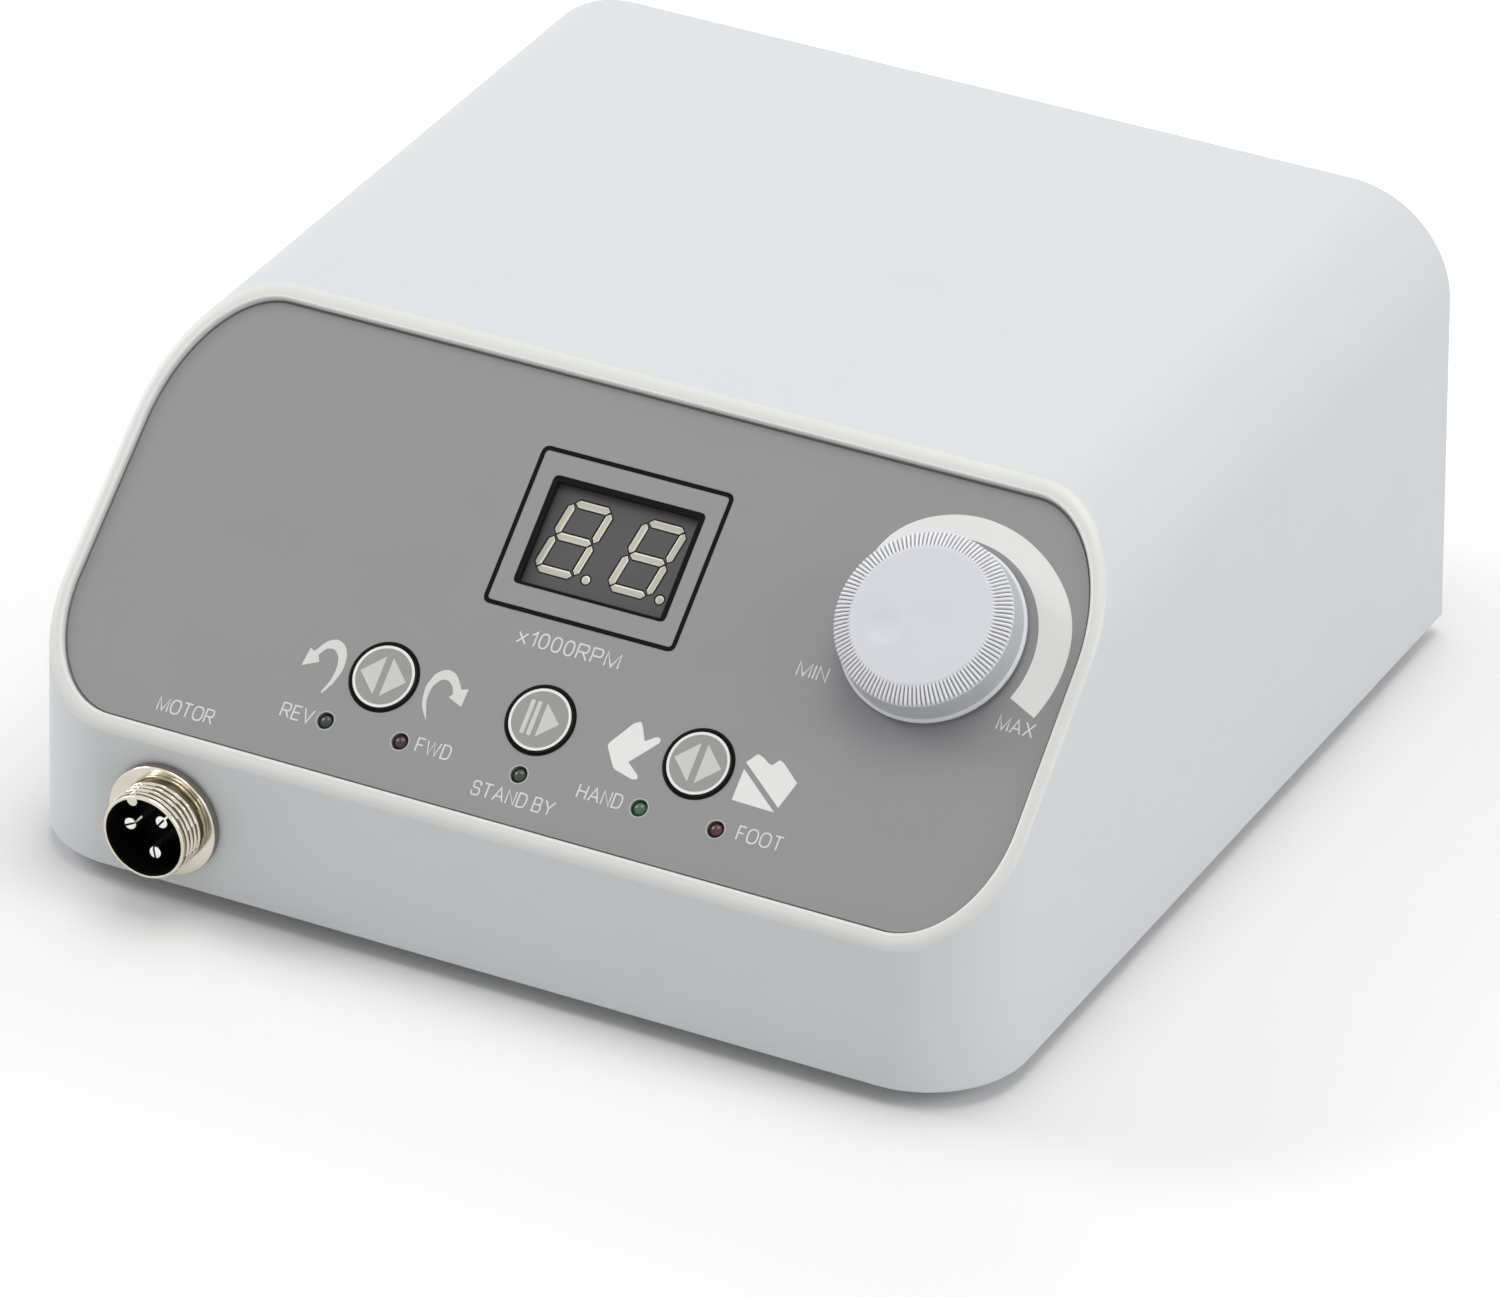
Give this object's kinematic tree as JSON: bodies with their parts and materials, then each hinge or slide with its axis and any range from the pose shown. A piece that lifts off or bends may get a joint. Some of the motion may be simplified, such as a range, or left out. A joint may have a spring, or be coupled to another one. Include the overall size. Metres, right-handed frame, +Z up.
{
  "type": "dental micromotor control unit",
  "caption": "Desktop control box of a dental laboratory micromotor: wedge case with a sloping panel, grooved speed knob, digit display, keys, lamps and a round motor socket.",
  "frame": {"origin": "centre of the bounding box's underside, on the plane that the four rubber feet stand on", "axes": "+Z up; -Y out of the front, towards the user; +X to the user's right"},
  "size_m": [0.168, 0.184, 0.078],
  "materials": {
    "pale_abs": "fine satin moulding grain",
    "grey_polycarbonate": "satin printed sheet",
    "dark_display_epoxy": "satin",
    "cream_diffuser": "translucent",
    "grey_key_plastic": "satin",
    "black_nylon": "satin",
    "green_lamp_epoxy": "clear tinted, unlit",
    "red_lamp_epoxy": "clear tinted, unlit",
    "nickel_plate": "bright nickel plating",
    "zinc_steel": "zinc plated",
    "anodised_aluminium": "clear anodised",
    "green_laminate": "solder mask",
    "enamelled_copper": "enamelled winding under varnish",
    "silicon_steel": "varnished laminations",
    "black_rubber": "matte",
    "blue_sleeve": "shrunk sleeve",
    "fuse_glass": "clear glass with plated ends",
    "grey_ribbon": "flat cable"
  },
  "bodies": {
    "housing": {"base_plate": "pale_abs", "bridge_rectifier": "black_nylon", "case_screw_1": "zinc_steel", "case_screw_2": "zinc_steel", "case_screw_3": "zinc_steel", "case_screw_4": "zinc_steel", "control_board": "green_laminate", "control_overlay": "grey_polycarbonate", "control_switch": "black_nylon", "direction_switch": "black_nylon", "display_diffuser": "cream_diffuser", "display_housing": "dark_display_epoxy", "filter_capacitor": "blue_sleeve", "foot_front_left": "black_rubber", "foot_front_right": "black_rubber", "foot_rear_left": "black_rubber", "foot_rear_right": "black_rubber", "fuse_holder": "black_nylon", "heat_sink": "anodised_aluminium", "inlet_blade_earth": "nickel_plate", "inlet_blade_line": "nickel_plate", "inlet_blade_neutral": "nickel_plate", "lamp_foot": "red_lamp_epoxy", "lamp_forward": "red_lamp_epoxy", "lamp_hand": "green_lamp_epoxy", "lamp_reverse": "green_lamp_epoxy", "lamp_standby": "green_lamp_epoxy", "main_board": "green_laminate", "motor_lead": "blue_sleeve", "motor_pin_1": "nickel_plate", "motor_pin_2": "nickel_plate", "motor_pin_3": "nickel_plate", "motor_socket_insert": "black_nylon", "motor_socket_nut": "nickel_plate", "motor_socket_shell": "nickel_plate", "pedal_pin_1": "nickel_plate", "pedal_pin_2": "nickel_plate", "pedal_socket_insert": "black_nylon", "pedal_socket_nut": "nickel_plate", "pedal_socket_shell": "nickel_plate", "pot_case": "zinc_steel", "pot_nut": "nickel_plate", "power_inlet": "black_nylon", "power_transistor": "black_nylon", "rear_panel": "anodised_aluminium", "ribbon_cable": "grey_ribbon", "start_switch": "black_nylon", "switch_frame": "black_nylon", "top_cover": "pale_abs", "transformer_coil": "enamelled_copper", "transformer_core": "silicon_steel"},
    "speed_knob": {"speed_knob": "pale_abs", "pot_shaft": "zinc_steel"},
    "direction_key": {"direction_key": "grey_key_plastic"},
    "start_key": {"start_key": "grey_key_plastic"},
    "control_key": {"control_key": "grey_key_plastic"},
    "power_rocker": {"power_rocker": "black_nylon"},
    "fuse_cartridge": {"fuse_cartridge": "fuse_glass"},
    "fuse_cap": {"fuse_cap": "black_nylon"}
  },
  "joints": [
    {"name": "speed_turn", "type": "hinge", "parent": "housing", "child": "speed_knob", "pos_m": [0.0569, -0.04696, 0.05939], "axis": [0, 0.6561, -0.7547], "range_deg": [0, 240]},
    {"name": "direction_key_press", "type": "slide", "parent": "housing", "child": "direction_key", "axis": [0, 0.6561, -0.7547], "range_m": [0, 0.0004], "stiffness_N_per_m": 2000},
    {"name": "start_key_press", "type": "slide", "parent": "housing", "child": "start_key", "axis": [0, 0.6561, -0.7547], "range_m": [0, 0.0004], "stiffness_N_per_m": 2000},
    {"name": "control_key_press", "type": "slide", "parent": "housing", "child": "control_key", "axis": [0, 0.6561, -0.7547], "range_m": [0, 0.0004], "stiffness_N_per_m": 2000},
    {"name": "power_rock", "type": "hinge", "parent": "housing", "child": "power_rocker", "pos_m": [0.016, 0.0848, 0.025], "axis": [1, 0, 0], "range_deg": [0, 20]},
    {"name": "fuse_draw", "type": "slide", "parent": "housing", "child": "fuse_cartridge", "axis": [0, 1, 0], "range_m": [0, 0.028]},
    {"name": "fuse_cap_turn", "type": "hinge", "parent": "fuse_cartridge", "child": "fuse_cap", "pos_m": [0.048, 0.0839, 0.051], "axis": [0, 1, 0], "range_deg": [0, 45]}
  ]
}
